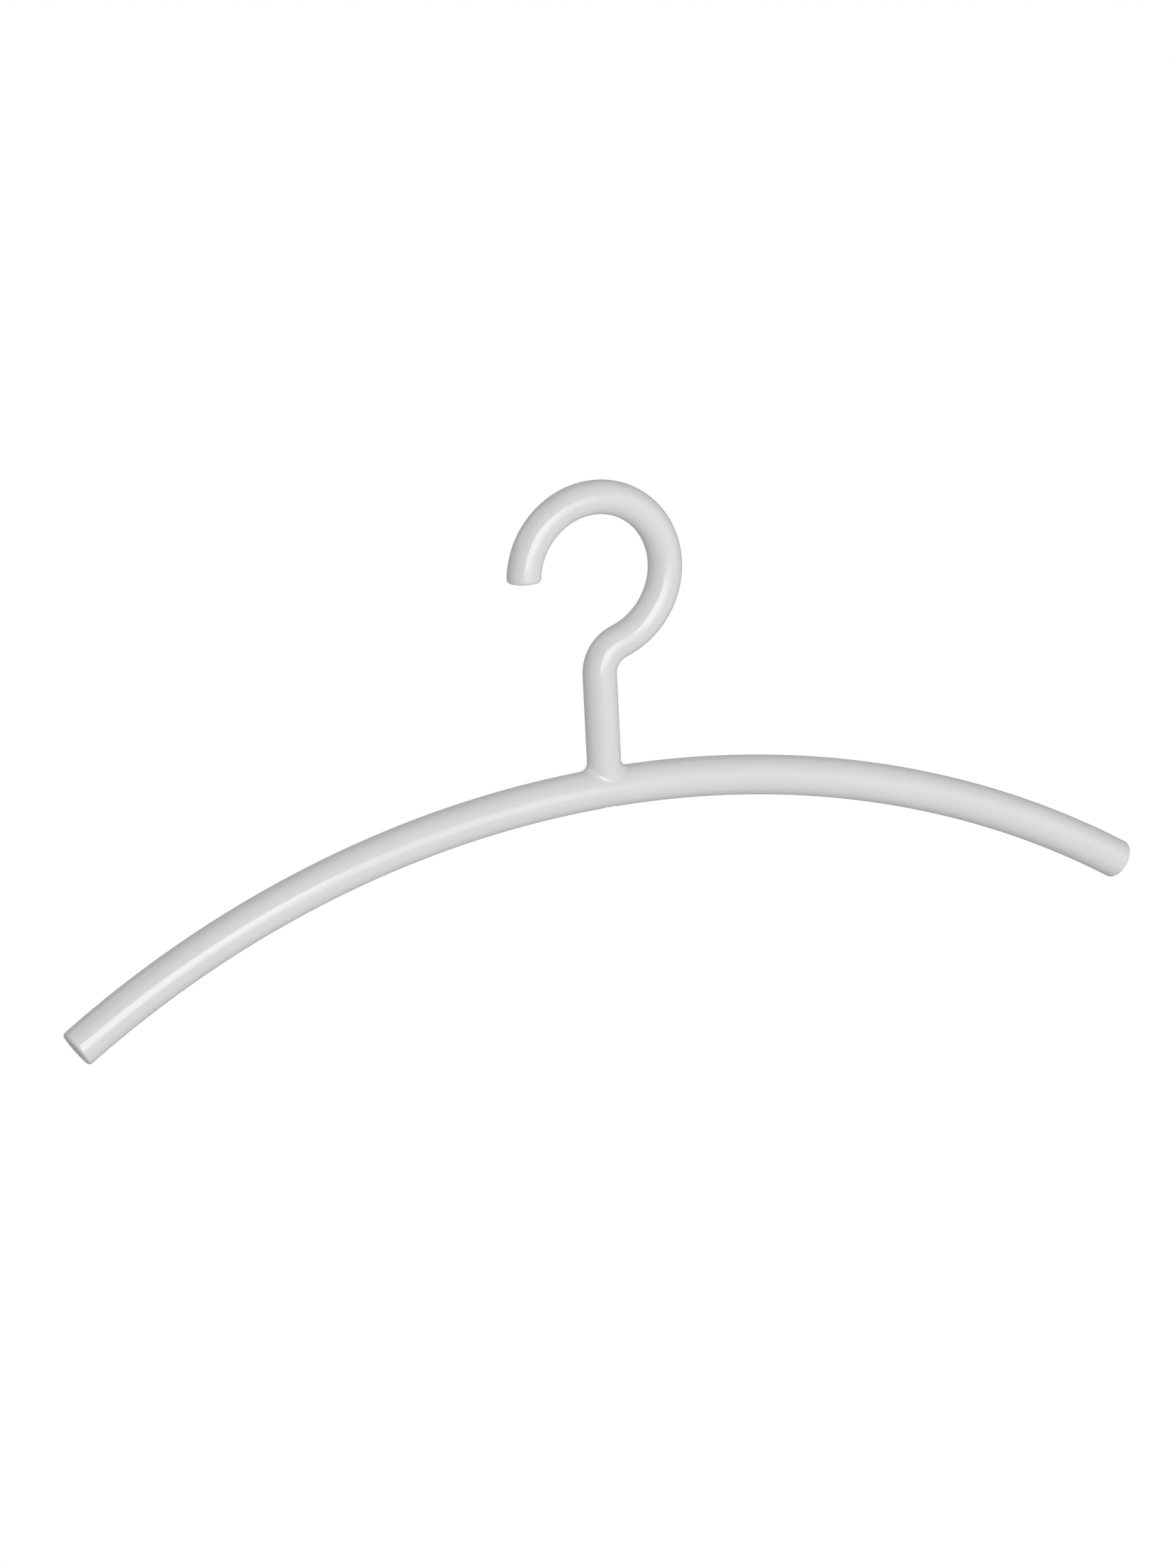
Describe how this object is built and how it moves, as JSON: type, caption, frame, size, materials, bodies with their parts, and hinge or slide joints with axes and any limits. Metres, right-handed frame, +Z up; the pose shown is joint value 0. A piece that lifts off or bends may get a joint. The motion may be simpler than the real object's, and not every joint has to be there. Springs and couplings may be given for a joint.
{
  "type": "clothes hanger",
  "caption": "White round-section clothes hanger: an arched shoulder bar with flat ends and a thick fixed hook on a straight stem.",
  "frame": {"origin": "rail seat, the highest point inside the hook, where the hanger hangs on a rail", "axes": "+Z up, X along the shoulders, Y through the flat side of the hook; the hook opens towards -X"},
  "size_m": [0.4388, 0.015, 0.188],
  "materials": {
    "white_nylon": "smooth gloss white",
    "core_steel": "drawn steel, uncoated",
    "screw_steel": "zinc plated"
  },
  "bodies": {
    "root": {"shoulder_bar": "white_nylon", "hook": "white_nylon", "left_end_plug": "white_nylon", "right_end_plug": "white_nylon", "hook_tip_plug": "white_nylon", "bar_core": "core_steel", "hook_core": "core_steel", "hook_screw": "screw_steel"}
  },
  "joints": []
}
